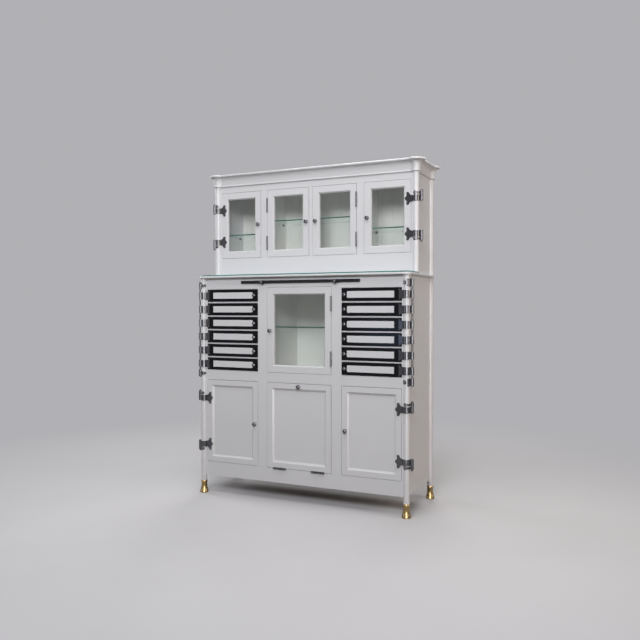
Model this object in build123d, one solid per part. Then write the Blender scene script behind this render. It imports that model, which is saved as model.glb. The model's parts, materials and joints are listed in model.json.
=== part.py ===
"""Floor-standing dental cabinet with a set-back glazed upper case.

Millimetres, +Z up, front towards -Y, feet on Z = 0.  The drawing datum is the front plane of the
lower face frame (Y = 0); every solid is shifted at export so that the origin is the bottom centre
of the bounding box.  The right-hand half is drawn and mirrored wherever the cabinet is symmetric.
"""
import os
from math import cos, radians, sin, sqrt

from build123d import *

os.makedirs("parts", exist_ok=True)

# ---------------------------------------------------------------- overall sizes
HEIGHT = 1612.0          # floor to top of cornice
POST_X = 534.0           # corner post centres from the middle plane
POST_R = 14.0
CASE_D = 366.0           # front to rear post centres
SETBACK = 132.0          # lower front to upper front
FOOT_H = 62.0
FOOT_R = 21.5
CASE_Z = 90.0            # lower edge of the carcass
WORKTOP_Z = 1071.0       # underside of the worktop moulding
CORNICE_H = 61.0
SIDE_T = 18.0           # side panels, partitions and shelves of the carcass
BACK_T = 12.0
FRAME_T = 20.0           # face frames and doors
GAP = 1.5                # clearance round doors, trays and flap
PROUD = 1.0              # doors stand this far in front of their frame

# ---------------------------------------------------------------- lower front
COL_IN, COL_OUT = 222.2, 510.4      # inner and outer edges of a side column
MID_HALF = 168.3                    # half width of the middle door and flap
DOOR_Z0, DOOR_Z1 = 161.0, 570.0     # cupboard doors and flap
MID_Z0, MID_Z1 = 620.0, 1027.0      # glazed middle door
TRAY_N = 6
TRAY_PITCH = 67.8
TRAY_H = 58.5
TRAY_TOP = 1019.5
DIVIDER_T = TRAY_PITCH - TRAY_H - 2 * GAP
STILE = 35.0                        # door stile and rail width
PANEL_BACK = 7.0                    # recess of a door panel

# ---------------------------------------------------------------- upper front
TOP_RAIL = 32.0                     # face frame between the doors and the cornice
UP_Z0 = 1185.5                      # doors
UP_Z1 = HEIGHT - CORNICE_H - TOP_RAIL
UP_H = UP_Z1 - UP_Z0
UP_OUTER = (280.4, 509.6)           # doors 1 and 4
UP_INNER = (10.9, 240.2)            # doors 2 and 3
WORKTOP_T = 16.0
SLAB_T = 10.0
GLASS_T = 6.0
PANE_T = 3.0
SHELF_T = 6.0
SIDE_SHELF_Z = UP_Z0 + 0.35 * UP_H
MID_SHELF_Z = UP_Z0 + 0.535 * UP_H
LOW_SHELF_Z = 834.0

# ---------------------------------------------------------------- slide
SLIDE_HALF = 312.0
SLIDE_Z, SLIDE_T = 1048.2, 11.8
SLIDE_FRONT = -9.0
SLIDE_DEPTH = CASE_D - BACK_T - 24.0
SLIDE_PLAY = 0.6

# ---------------------------------------------------------------- swinging hardware
PIN_X, PIN_Y, PIN_R = 25.0, 3.0, 4.0    # hinge pin or tray rod from the post centre
PIN_FIT = 0.06
BARREL_R = 7.5
STRAP_IN, STRAP_T = 15.0, 2.5           # strap round the post
DOOR_BAND_H, TRAY_BAND_H = 27.0, 34.0
FLARE_H, FLARE_REACH = 59.0, 30.0
BRACKET_H, BRACKET_T = 14.0, 2.6
BRACKET_GAP = 3.0                       # between a door strap and its bracket
ROD_BRACKET_H = 34.0
BARREL_PLAY = 0.6                       # between a strap's barrel and the collar on its pin
LOW_HINGES = (247.0, 479.0)
UP_HINGES = (UP_Z0 + 0.25 * UP_H, UP_Z1 - 0.264 * UP_H)
BUTT_H, BUTT_R, BUTT_PIN_R, BUTT_T = 66.0, 4.0, 1.8, 1.4
UP_BUTTS = (UP_Z0 + 0.21 * UP_H, UP_Z1 - 0.222 * UP_H)
MID_BUTTS = (692.5, 949.0)
FLAP_BUTTS = (-101.0, 101.0)
KNOB_R, KNOB_REACH, SPINDLE_R = 9.5, 15.0, 2.5
KNOB_Z_UP = UP_Z0 + UP_H / 2
KNOB_Z_MID, KNOB_Z_LOW = 820.0, 364.0
KNOB_IN = 14.0                          # knob centre from the door edge
TRAY_PROUD, TRAY_WALL = 3.0, 4.0
TRAY_BACK = CASE_D - BACK_T - 54.0
PULL_X, PULL_REACH = 192.5, 17.0

WORKTOP_TOP = WORKTOP_Z + WORKTOP_T
CORNICE_Z = HEIGHT - CORNICE_H
SIDE_IN = POST_X - SIDE_T
REAR_IN = CASE_D - BACK_T
STILE_MID = (MID_HALF + COL_IN) / 2
PART_MID = (UP_INNER[1] + UP_OUTER[0]) / 2
TRAY_BOTTOM = TRAY_TOP - (TRAY_N - 1) * TRAY_PITCH - TRAY_H
Y_FRONT, Y_REAR = SLIDE_FRONT - PULL_REACH, CASE_D + FOOT_R
Y_SHIFT = -(Y_FRONT + Y_REAR) / 2


# ---------------------------------------------------------------- helpers
def block(x, y, z):
    """A board between the two ends given for each axis."""
    (x0, x1), (y0, y1), (z0, z1) = x, y, z
    return Pos((x0 + x1) / 2, (y0 + y1) / 2, (z0 + z1) / 2) * Box(abs(x1 - x0), abs(y1 - y0), abs(z1 - z0))


def flip(solids):
    """The same solids on the other side of the middle plane."""
    return [mirror(s, about=Plane.YZ) for s in solids]


def both(solids):
    return list(solids) + flip(solids)


def save(node, solids):
    """Write the solids of one node, shifted to the part's origin."""
    flat = [s for item in solids for s in item.solids()]
    export_step(Pos(0, Y_SHIFT, 0) * Compound(children=flat), f"parts/{node}.step")


def turned(points, curve=()):
    """Revolve a half profile of (radius, height) points round Z; curve names the spans drawn as splines."""
    lines, i = [], 0
    while i < len(points) - 1:
        run = next((c for c in curve if c[0] == i), None)
        if run:
            lines.append(Spline(*points[run[0]:run[1] + 1]))
            i = run[1]
        else:
            lines.append(Line(points[i], points[i + 1]))
            i += 1
    face = make_face(Curve() + lines + Line(points[-1], points[0]))
    return revolve(Plane.XZ * face, Axis.Z)


def facing_front(solid):
    """Turn something drawn along +Z so that it points out of the front."""
    return Rot(90, 0, 0) * solid


# ---------------------------------------------------------------- plan outlines
def turret_face(z, out, y_front, y_rear, throat=16.0):
    """Moulding outline at one height: straight runs that swell round the four corner posts."""
    r, flat = POST_R + out, out
    run = sqrt((r + throat) ** 2 - (flat + throat) ** 2)
    k = r / (r + throat)
    arcs = []
    for sx, sy, py in ((1, -1, y_front), (1, 1, y_rear), (-1, 1, y_rear), (-1, -1, y_front)):
        def at(a, b):
            return (sx * (POST_X + a), py + sy * b)
        mid = sin(radians(45))
        fillet_1 = [at(-run, flat), None, at(-run * k, (flat + throat) * k)]
        centre = (-run, flat + throat)
        mx, my = (-run + -run * k) / 2 - centre[0], (flat + (flat + throat) * k) / 2 - centre[1]
        grow = throat / sqrt(mx * mx + my * my)
        fillet_1[1] = at(centre[0] + mx * grow, centre[1] + my * grow)
        fillet_2 = [at((flat + throat) * k, -run * k), at(centre[1] + my * grow, centre[0] + mx * grow), at(flat, -run)]
        group = [fillet_1, [fillet_1[2], at(r * mid, r * mid), fillet_2[0]], fillet_2]
        if sx * sy > 0:
            group = [g[::-1] for g in reversed(group)]
        arcs.append(group)
    edges = []
    for i, group in enumerate(arcs):
        edges += [ThreePointArc(*g) for g in group]
        edges.append(Line(group[-1][2], arcs[(i + 1) % 4][0][0]))
    return Pos(0, 0, z) * make_face(Curve() + edges)


def moulding(levels, y_front, y_rear, y_cut):
    """Stack of ruled layers through (height, projection) pairs, flush behind at y_cut."""
    body = None
    for (z0, a), (z1, b) in zip(levels, levels[1:]):
        if z1 - z0 < 1e-6:
            continue
        layer = loft([turret_face(z0, a, y_front, y_rear), turret_face(z1, b, y_front, y_rear)], ruled=True)
        body = layer if body is None else body + layer
    reach = 2 * POST_X
    return body & block((-reach, reach), (-reach, y_cut), (levels[0][0] - 1, levels[-1][0] + 1))


def rounded_slab(half, y0, y1, radius, z0, z1, ease):
    """Slab with rounded front corners and eased front and side edges."""
    outline = Pos(0, (y0 + y1) / 2) * Rectangle(2 * half, y1 - y0)
    outline = fillet(outline.vertices().sort_by(Axis.Y)[:2], radius)
    slab = Pos(0, 0, z0) * extrude(outline, amount=z1 - z0)
    edges = [e for e in slab.edges() if abs(e.center().Z - z0) < 1e-6 or abs(e.center().Z - z1) < 1e-6]
    return fillet([e for e in edges if e.center().Y < y1 - 1], ease)


# ---------------------------------------------------------------- posts and feet
def post(y, z0, z1, z_notch):
    """Three-quarter round post: above z_notch the carcass corner fills its inner quarter."""
    solid = Pos(POST_X, y, (z0 + z1) / 2) * Cylinder(POST_R, z1 - z0)
    inward = 1 if y < CASE_D else -1
    return solid - block((POST_X - 2 * POST_R, POST_X), (y, y + inward * 2 * POST_R), (z_notch, z1 + 1))


save("corner_posts", both([
    post(0, FOOT_H, WORKTOP_Z, CASE_Z),
    post(CASE_D, FOOT_H, CORNICE_Z, CASE_Z),
    post(SETBACK, WORKTOP_TOP, CORNICE_Z, WORKTOP_TOP - 1),
]))

foot = turned([(0, 0), (FOOT_R - 3, 0), (FOOT_R, 3.5), (FOOT_R - 0.6, 8), (16.6, 24), (14.6, 42), (14.6, 54),
               (16.6, 55.5), (16.6, FOOT_H - 1.5), (15.4, FOOT_H), (0, FOOT_H)], curve=[(3, 5)])
save("brass_feet", both([Pos(POST_X, y, 0) * foot for y in (0, CASE_D)]))

# ---------------------------------------------------------------- carcass
save("side_panels", both([
    block((SIDE_IN, POST_X), (FRAME_T, CASE_D), (CASE_Z, WORKTOP_Z)),
    block((SIDE_IN, POST_X), (SETBACK + FRAME_T, CASE_D), (WORKTOP_TOP, CORNICE_Z)),
]))

BEAD_PITCH = 2 * SIDE_IN / 18
lower_back = block((-SIDE_IN, SIDE_IN), (REAR_IN, CASE_D), (CASE_Z, WORKTOP_Z))
upper_back = block((-SIDE_IN, SIDE_IN), (REAR_IN, CASE_D), (WORKTOP_TOP, CORNICE_Z))
for i in range(1, 18):
    x = -SIDE_IN + i * BEAD_PITCH
    upper_back -= block((x - 1, x + 1), (REAR_IN - 1, REAR_IN + 1.2), (WORKTOP_TOP - 1, CORNICE_Z + 1))
save("back_panel", [lower_back, upper_back])

FLOOR_TOP = DOOR_Z0 - GAP                 # lower cupboards
DECK_TOP = MID_Z0 - GAP                   # trays and middle compartment
BED_TOP = SLIDE_Z - SLIDE_PLAY
SLOT_TOP = SLIDE_Z + SLIDE_T + 2
UPPER_FLOOR = UP_Z0 - GAP
GUIDE_X = SLIDE_HALF + 1.0
inside_y = (FRAME_T, REAR_IN)
upper_y = (SETBACK + FRAME_T, REAR_IN)
full_x = (-SIDE_IN, SIDE_IN)
save("carcass_boards", [
    block(full_x, inside_y, (FLOOR_TOP - SIDE_T, FLOOR_TOP)),
    block(full_x, inside_y, (DECK_TOP - SIDE_T, DECK_TOP)),
    block(full_x, inside_y, (BED_TOP - 14, BED_TOP)),
    block(full_x, upper_y, (UPPER_FLOOR - SIDE_T, UPPER_FLOOR)),
    block(full_x, upper_y, (CORNICE_Z - SIDE_T, CORNICE_Z)),
] + both([
    block((GUIDE_X, GUIDE_X + 24), inside_y, (BED_TOP, WORKTOP_Z)),
    block((GUIDE_X - 16, GUIDE_X), inside_y, (SLOT_TOP, WORKTOP_Z)),
]))

part_x = (STILE_MID - SIDE_T / 2, STILE_MID + SIDE_T / 2)
up_part_x = (PART_MID - SIDE_T / 2, PART_MID + SIDE_T / 2)
save("partitions", both([
    block(part_x, inside_y, (FLOOR_TOP, DECK_TOP - SIDE_T)),
    block(part_x, inside_y, (DECK_TOP, BED_TOP - 14)),
    block(up_part_x, upper_y, (UPPER_FLOOR, CORNICE_Z - SIDE_T)),
]))

dividers = []
for i in range(1, TRAY_N):
    z0 = TRAY_TOP - i * TRAY_PITCH + GAP
    dividers.append(block((part_x[1], SIDE_IN), inside_y, (z0, z0 + DIVIDER_T)))
    dividers.append(block((COL_IN - GAP, COL_OUT + GAP), (0, FRAME_T), (z0, z0 + DIVIDER_T)))
save("tray_dividers", both(dividers))


# ---------------------------------------------------------------- butt hinges
def butt(moving):
    """One half of a butt hinge: pin on Z through the origin, own leaf towards +X, door edge at GAP/2."""
    knuckle = (BUTT_H - 4 * 0.5) / 5
    lift = BUTT_R + 0.4
    solids = block((GAP / 2, GAP / 2 + BUTT_T), (lift + 0.1, lift + 17), (-BUTT_H / 2, BUTT_H / 2))
    for i in range(5):
        if (i % 2 == 1) != moving:
            continue
        z0 = -BUTT_H / 2 + i * (knuckle + 0.5)
        barrel = Pos(0, 0, z0 + knuckle / 2) * Cylinder(BUTT_R, knuckle)
        tab = block((GAP / 2, GAP / 2 + BUTT_T), (2, lift + 1), (z0, z0 + knuckle))
        solids = solids + barrel + tab
    if moving:
        return solids - Cylinder(BUTT_PIN_R + PIN_FIT, BUTT_H + 2)
    solids = solids + Cylinder(BUTT_PIN_R, BUTT_H)
    for end in (-1, 1):
        solids = solids + Pos(0, 0, end * BUTT_H / 2) * Sphere(BUTT_R * 0.8)
    return solids


def mortise(x_edge, towards, y_face, z_mid):
    """Pocket for a hinge leaf in an upright edge; towards is the side that holds the wood."""
    return block((x_edge, x_edge + towards * BUTT_T), (y_face - 1, y_face + 17), (z_mid - BUTT_H / 2, z_mid + BUTT_H / 2))


BUTT_BACK = BUTT_R + 0.4
UP_BUTT_X = UP_INNER[1] + GAP / 2       # pins of doors 2 and 3
MID_BUTT_X = MID_HALF + GAP / 2         # pins of the middle door
UP_BUTT_Y = SETBACK - PROUD - BUTT_BACK
LOW_BUTT_Y = -PROUD - BUTT_BACK
FLAP_PIN_Z = DOOR_Z0 - GAP / 2

# ---------------------------------------------------------------- face frames
mid_stile = (MID_HALF + GAP, COL_IN - GAP)
col_x = (COL_IN - GAP, COL_OUT + GAP)
front_y = (0, FRAME_T)
inner_stile = block(mid_stile, front_y, (FLOOR_TOP, MID_Z1 + GAP))
hung_stile = inner_stile
for z in MID_BUTTS:
    hung_stile -= mortise(MID_HALF + GAP, 1, 0, z)
bottom_rail = block((-COL_OUT - GAP, COL_OUT + GAP), front_y, (CASE_Z, FLOOR_TOP))
for x in FLAP_BUTTS:
    bottom_rail -= block((x - BUTT_H / 2, x + BUTT_H / 2), (-1, 16), (FLOOR_TOP - BUTT_T, FLOOR_TOP))
save("lower_face_frame", [
    hung_stile, *flip([inner_stile]), bottom_rail,
    block((-MID_HALF - GAP, MID_HALF + GAP), front_y, (DOOR_Z1 + GAP, DECK_TOP)),
    block((-COL_OUT - GAP, COL_OUT + GAP), front_y, (MID_Z1 + GAP, BED_TOP)),
    block((-COL_OUT - GAP, COL_OUT + GAP), front_y, (SLOT_TOP, WORKTOP_Z)),
] + both([
    block((COL_OUT + GAP, POST_X), front_y, (CASE_Z, WORKTOP_Z)),
    block(col_x, front_y, (DOOR_Z1 + GAP, TRAY_BOTTOM - GAP)),
    block(col_x, front_y, (TRAY_TOP + GAP, MID_Z1 + GAP)),
    block((GUIDE_X, COL_OUT + GAP), front_y, (BED_TOP, SLOT_TOP)),
]))

up_front = (SETBACK, SETBACK + FRAME_T)
part_stile = block((UP_INNER[1] + GAP, UP_OUTER[0] - GAP), up_front, (UPPER_FLOOR, UP_Z1 + GAP))
for z in UP_BUTTS:
    part_stile -= mortise(UP_INNER[1] + GAP, 1, SETBACK, z)
edge = UP_OUTER[1] + GAP
save("upper_face_frame", [
    block((-edge, edge), up_front, (WORKTOP_TOP, UPPER_FLOOR)),
    block((-edge, edge), up_front, (UP_Z1 + GAP, CORNICE_Z)),
    block((-UP_INNER[0] + GAP, UP_INNER[0] - GAP), up_front, (UPPER_FLOOR, UP_Z1 + GAP)),
] + both([part_stile, block((edge, POST_X), up_front, (WORKTOP_TOP, CORNICE_Z))]))

# ---------------------------------------------------------------- worktop and cornice
OVERHANG = POST_R + 8.0
FILLET_LINE = WORKTOP_TOP - SLAB_T
slab = rounded_slab(POST_X + OVERHANG, -OVERHANG, CASE_D - POST_R, 30, FILLET_LINE, WORKTOP_TOP, 3.0)
slab = slab + block((-POST_X, POST_X), (CASE_D - POST_R - 2, CASE_D), (FILLET_LINE, WORKTOP_TOP))
under = moulding([(WORKTOP_Z, 1.5), (WORKTOP_Z + 1.5, 3.0), (WORKTOP_Z + 3.5, 3.0), (FILLET_LINE, 6.5)],
                 0, CASE_D, CASE_D - POST_R)
save("worktop", [slab + under])
glass_rear = SETBACK - POST_R - 2
glass_z = (WORKTOP_TOP, WORKTOP_TOP + GLASS_T)
glass = rounded_slab(POST_X + OVERHANG - 3, -OVERHANG + 3, glass_rear, 28, *glass_z, 1.5)
glass = glass + block((POST_R + 2 - POST_X, POST_X - POST_R - 2), (glass_rear - 1, SETBACK - 0.3), glass_z)
save("worktop_glass", [glass])

astragal = [(0, 4.0), (1.5, 6.5), (4.5, 7.5), (7.5, 6.5), (9, 4.5)]
frieze = [(10, 4.5), (30, 5.5)]
cove = [(36, 6.5), (41, 9.0), (45, 12.5), (48, 17.0), (50, 22.5)]
rim = [(50.5, 26.0), (52, 28.0), (55, 29.0), (58, 28.6), (60, 27.0), (61, 24.0)]
profile = astragal + frieze + cove + rim
LIFT = CORNICE_H / profile[-1][0]
save("cornice", [moulding([(CORNICE_Z + z * LIFT, e) for z, e in profile], SETBACK, CASE_D, CASE_D + POST_R)])


# ---------------------------------------------------------------- framed doors
PANEL_EDGE = [(-1.0, 9.0), (1.0, 9.0), (2.2, 7.8), (4.0, 4.4), (5.2, 1.6), (6.5, 0.0)]
PANE_EDGE = [(-1.0, 4.8), (0.8, 4.8), (2.4, 3.6), (5.6, 0.0)]


def moulded_opening(x, z, y_face, levels):
    """Opening of a door frame whose edge is moulded through (depth, spread) pairs."""
    (x0, x1), (z0, z1) = x, z

    def outline(depth, spread):
        plan = Rectangle(x1 - x0 - 2 * STILE + 2 * spread, z1 - z0 - 2 * STILE + 2 * spread)
        return Pos((x0 + x1) / 2, y_face + depth, (z0 + z1) / 2) * (Plane.XZ * plan)

    hole = block((x0 + STILE, x1 - STILE), (y_face - 1, y_face + FRAME_T + 1), (z0 + STILE, z1 - STILE))
    for shallow, deep in zip(levels, levels[1:]):
        hole += loft([outline(*shallow), outline(*deep)], ruled=True)
    return hole


def door_frame(x, z, y_face, glazed, cuts=()):
    """Stiles and rails with a moulded inner edge, split at the rail joints; glazed frames have a rebate."""
    (x0, x1), (z0, z1) = x, z
    y0, y1 = y_face, y_face + FRAME_T
    frame = block(x, (y0, y1), z) - moulded_opening(x, z, y_face, PANE_EDGE if glazed else PANEL_EDGE)
    if glazed:
        lap = 6.0
        frame -= block((x0 + STILE - lap, x1 - STILE + lap), (y0 + 8, y1 + 1), (z0 + STILE - lap, z1 - STILE + lap))
    for cut in cuts:
        frame -= cut
    xs, zs = (x0 + STILE, x1 - STILE), (z0 + STILE, z1 - STILE)
    wide_y = (y0 - 1, y1 + 1)
    cells = [((x0, xs[0]), (z0, z1)), ((xs[1], x1), (z0, z1)), (xs, (z0, zs[0])), (xs, (zs[1], z1))]
    return [frame & block(cx, wide_y, cz) for cx, cz in cells]


def pane(x, z, y_face):
    """Glass in the rebate, and the four beads that hold it."""
    lap, back = 6.0, y_face + 8 + PANE_T
    ox, oz = (x[0] + STILE - lap, x[1] - STILE + lap), (z[0] + STILE - lap, z[1] - STILE + lap)
    glass = block(ox, (y_face + 8, back), oz)
    y = (back, y_face + FRAME_T - 1.5)
    beads = [block((ox[0], ox[0] + lap), y, oz), block((ox[1] - lap, ox[1]), y, oz),
             block((ox[0] + lap, ox[1] - lap), y, (oz[0], oz[0] + lap)),
             block((ox[0] + lap, ox[1] - lap), y, (oz[1] - lap, oz[1]))]
    return glass, beads


def panel(x, z, y_face):
    return block((x[0] + STILE, x[1] - STILE), (y_face + PANEL_BACK, y_face + PANEL_BACK + 7),
                 (z[0] + STILE, z[1] - STILE))


def turn_knob(x, z, y_face, rest=0):
    """Domed knob on a spindle through the door, with a finger catch inside that stands clear at rest."""
    r = SPINDLE_R
    body = turned([(0, -FRAME_T - 4), (r, -FRAME_T - 4), (r, 0.5), (KNOB_R - 3, 0.5), (KNOB_R - 2.5, 1.5),
                   (4.6, 3), (4.2, 6), (KNOB_R - 1.5, 8.5), (KNOB_R - 0.6, 10.5), (KNOB_R - 2.2, 13.2),
                   (4, KNOB_REACH - 0.4), (0, KNOB_REACH)], curve=[(5, 7), (7, 10)])
    catch = Pos(0, 6, -FRAME_T - 2.7) * Box(9, 21, 2.6)
    catch = fillet(catch.edges().filter_by(Axis.Z), 3.5)
    return Pos(x, y_face, z) * facing_front(body + Rot(0, 0, rest) * catch)


def knob_rose(x, z, y_face):
    """Plate under a knob, let into the door so that the spindle turns inside it."""
    bore = SPINDLE_R + PIN_FIT
    ring = turned([(bore, -2.5), (KNOB_R - 1, -2.5), (KNOB_R - 1, 0), (bore, 0)])
    return Pos(x, y_face, z) * facing_front(ring)


def knob_cut(x, z, y_face):
    """Hole for the spindle and seat for the rose."""
    hole = facing_front(Pos(0, 0, -FRAME_T / 2) * Cylinder(3.2, FRAME_T + 4))
    seat = facing_front(Pos(0, 0, -1.25) * Cylinder(KNOB_R - 1, 2.5))
    return Pos(x, y_face, z) * (hole + seat)


# ---------------------------------------------------------------- hardware round the posts
def ring_plan(r_in, r_out, cut_left, bore):
    """Band round the front of a post, from the frame side to the hinge pin, with its barrel."""
    size = 3 * r_out
    mask = make_face(Polyline((-size, -size), (size, -size), (size, 1), (0, 1), (0, cut_left), (-size, cut_left),
                              close=True))
    band = (Circle(r_out) - Circle(r_in)) & mask
    web = Pos((r_in + PIN_X - 5) / 2, 0.5) * Rectangle(PIN_X - 5 - r_in - 0.2, 9)
    plan = band + web + Pos(PIN_X, PIN_Y) * Circle(BARREL_R)
    return plan - Pos(PIN_X, PIN_Y) * Circle(bore) if bore else plan


def fishtail(neck_h):
    """Door leaf: a fan from the post with two rounded horns and a centre point."""
    h, n, r = FLARE_H / 2, neck_h / 2, FLARE_REACH
    upper = [ThreePointArc((6, n), (-r * 0.12, n + 3.2), (-r * 0.34, h * 0.9)),
             ThreePointArc((-r * 0.34, h * 0.9), (-r * 0.57, h), (-r * 0.75, h * 0.8)),
             ThreePointArc((-r * 0.75, h * 0.8), (-r * 0.71, h * 0.5), (-r * 0.82, h * 0.25)),
             ThreePointArc((-r * 0.82, h * 0.25), (-r * 0.95, h * 0.15), (-r, 0))]
    lower = [mirror(e, about=Plane.XZ) for e in upper]
    return make_face(Curve() + upper + lower + Line((6, n), (6, -n)))


def tray_tail(neck_h):
    """Tray leaf: a short bell that reaches the full height of the tray front."""
    h, n, r = TRAY_H / 2 - 1, neck_h / 2, 12.0
    upper = ThreePointArc((6, n), (-r * 0.3, n + 3), (-r, h))
    return make_face(Curve() + upper + mirror(upper, about=Plane.XZ) + Line((-r, h), (-r, -h)) + Line((6, n), (6, -n)))


def strap(y, proud, z_mid, band_h, tail, tail_x):
    """Moving strap: leaf on the front, neck, band round the post and barrel on the pin."""
    plan = ring_plan(STRAP_IN, STRAP_IN + STRAP_T, -proud + 0.2, PIN_R + PIN_FIT)
    neck_x = (tail_x - POST_X, -STRAP_IN - 0.4)
    neck = Pos(sum(neck_x) / 2, -proud - STRAP_T / 2) * Rectangle(neck_x[1] - neck_x[0], STRAP_T)
    band = Pos(POST_X, y, z_mid - band_h / 2) * extrude(plan + neck, amount=band_h)
    leaf = Pos(tail_x, y - proud, z_mid) * extrude(Plane.XZ * tail, amount=STRAP_T)
    return band + leaf


def post_point(y, angle, radius, z):
    """A place on a circle round the right-hand front post; 0 points outwards, -90 to the front."""
    return Pos(POST_X + radius * cos(radians(angle)), y + radius * sin(radians(angle)), z)


def boss(y, angle, z, radius):
    """Domed screw head on a bracket round the post."""
    dome = post_point(y, angle, POST_R + 1.2, z) * Sphere(radius)
    return dome - Pos(POST_X, y, z) * Cylinder(POST_R, 4 * radius)


def front_disc(x, y, z, radius):
    """Round cutter through the front half of a post."""
    return Pos(POST_X + x, y - POST_R, z) * facing_front(Cylinder(radius, 2 * POST_R))


def door_bracket(y, z_mid, side):
    """Fixed bracket above or below a strap: round lobe with a screw, arm, collar, pin and ball finial."""
    inner, near = DOOR_BAND_H / 2 + BARREL_PLAY, DOOR_BAND_H / 2 + BRACKET_GAP
    centre = z_mid + side * (near + BRACKET_H / 2)
    head, tip = z_mid + side * (near + BRACKET_H), z_mid - side * (inner + 2.0)
    band = Pos(POST_X, y, centre - BRACKET_H / 2) * extrude(ring_plan(POST_R, POST_R + BRACKET_T, -9.0, 0), amount=BRACKET_H)
    arm = block((POST_X, POST_X + 2 * PIN_X), (y - 2 * POST_R, y + POST_R), (centre - 4.5, centre + 4.5))
    body = band & (front_disc(-2, y, centre, BRACKET_H / 2 + 0.6) + arm)

    def on_pin(radius, z0, z1):
        return Pos(POST_X + PIN_X, y + PIN_Y, (z0 + z1) / 2) * Cylinder(radius, abs(z1 - z0))

    collar = on_pin(BARREL_R, z_mid + side * inner, head)
    pin, stop = on_pin(PIN_R, tip, head), on_pin(PIN_R + 1.6, tip, tip + side * 1.4)
    ball = Pos(POST_X + PIN_X, y + PIN_Y, head + side * 3.2) * Sphere(5.6)
    return body + collar + pin + ball + stop + boss(y, -98, centre, 4.8)


def rod_bracket(z_mid):
    """Bracket at an end of a tray rod: a low round lobe in front of the post and a tall wing beside the rod."""
    h = ROD_BRACKET_H
    band = Pos(POST_X, 0, z_mid - h / 2) * extrude(ring_plan(POST_R, POST_R + BRACKET_T, -4.0, 0), amount=h)
    wing = block((POST_X + 5, POST_X + 2 * PIN_X), (-2 * POST_R, POST_R), (z_mid - h / 2, z_mid + h / 2))
    arm = block((POST_X - 6, POST_X + PIN_X), (-2 * POST_R, POST_R), (z_mid - 5.5, z_mid + 5.5))
    body = band & (front_disc(-6, 0, z_mid, 9.0) + arm + wing)
    body = body + boss(0, -115, z_mid, 5.4)
    for dz in (-10.5, 10.5):
        body = body + boss(0, -50, z_mid + dz, 4.2)
    return body


ROD_TOP, ROD_LOW = 1041.0, 602.0
rod_len = ROD_TOP - ROD_LOW + ROD_BRACKET_H + 8
save("tray_pivot_rods", both([Pos(POST_X + PIN_X, PIN_Y, (ROD_TOP + ROD_LOW) / 2) * Cylinder(PIN_R, rod_len)]))
rod_void = Pos(POST_X + PIN_X, PIN_Y, (ROD_TOP + ROD_LOW) / 2) * Cylinder(PIN_R, rod_len)
fixed = [rod_bracket(z) - rod_void for z in (ROD_TOP, ROD_LOW)]
for y, hinges in ((0, LOW_HINGES), (SETBACK, UP_HINGES)):
    fixed += [door_bracket(y, hinges[0], -1), door_bracket(y, hinges[1], 1)]
fixed += [Pos(UP_BUTT_X, UP_BUTT_Y, z) * butt(False) for z in UP_BUTTS]
fixed = both(fixed)
fixed += [Pos(MID_BUTT_X, LOW_BUTT_Y, z) * butt(False) for z in MID_BUTTS]
flap_turn = Rot(0, 90, 0)
fixed += [Pos(x, LOW_BUTT_Y, FLAP_PIN_Z) * flap_turn * butt(False) for x in FLAP_BUTTS]
save("fixed_hinge_parts", fixed)

# ---------------------------------------------------------------- trays
SWING = COL_OUT - POST_X - PIN_X            # outer end of a tray from its rod
tray_r = POST_X + PIN_X - COL_IN - 2.0      # rim of the pan, swept about the rod


def tray_region(inset, y0, y1):
    """Plan of the pan: a quarter circle about the rod, cut off behind and beside the case."""
    disc = Circle(tray_r - inset)
    reach = 2 * tray_r
    keep = Pos((SWING - inset - reach / 2), (y0 + y1) / 2) * Rectangle(reach, y1 - y0)
    return Pos(POST_X + PIN_X, PIN_Y) * (disc & keep)


INSET_X = (COL_IN + 26.2, COL_OUT - 34.0)   # label recess
INSET_H = 31.0
KNOB_X = COL_IN + 16.3
TRAY_KNOB_R, TRAY_KNOB_REACH = 8.6, 15.0


def tray(z0):
    """Front board with its label recess, pan floor, bent rim, strap and knob."""
    z1 = z0 + TRAY_H
    front_t = 15.0
    y0, y1 = -TRAY_PROUD, -TRAY_PROUD + front_t
    z_mid = z0 + TRAY_H / 2
    front = block((COL_IN, COL_OUT), (y0, y1), (z0, z1))
    front = fillet([e for e in front.edges() if abs(e.center().Y - y0) < 1e-6], 1.6)
    label = Rectangle(INSET_X[1] - INSET_X[0], INSET_H)
    label = fillet(label.vertices().sort_by(Axis.X)[:2], 6.0)
    label = Pos(sum(INSET_X) / 2, z_mid) * label
    front = front - Pos(0, y0 + 1.2, 0) * extrude(Plane.XZ * label, amount=5)
    py0, py1 = y1 - PIN_Y, TRAY_BACK - PIN_Y
    floor = Pos(0, 0, z0 + 3) * extrude(tray_region(0, py0, py1), amount=4)
    rim = tray_region(0, py0, py1) - tray_region(TRAY_WALL, py0, py1 - TRAY_WALL)
    wall = Pos(0, 0, z0 + 7) * extrude(rim, amount=TRAY_H - 16)
    r, reach = TRAY_KNOB_R, TRAY_KNOB_REACH
    knob = turned([(0, 0), (r - 3.6, 0), (r - 3.6, 1.2), (r - 5.0, 3.4), (r - 4.2, 6.2), (r - 0.4, 8.6), (r - 0.2, 10.8),
                   (r - 2.6, 13.4), (3.6, reach - 0.3), (0, reach)], curve=[(2, 5), (5, 8)])
    knob = Pos(KNOB_X, y0, z_mid) * facing_front(knob)
    return [front, floor, wall, knob, strap(0, TRAY_PROUD, z_mid, TRAY_BAND_H, tray_tail(TRAY_BAND_H), COL_OUT)]


for i in range(TRAY_N):
    solids = tray(TRAY_TOP - TRAY_H - i * TRAY_PITCH)
    save(f"right_tray_{i + 1}", solids)
    save(f"left_tray_{i + 1}", flip(solids))

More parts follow.
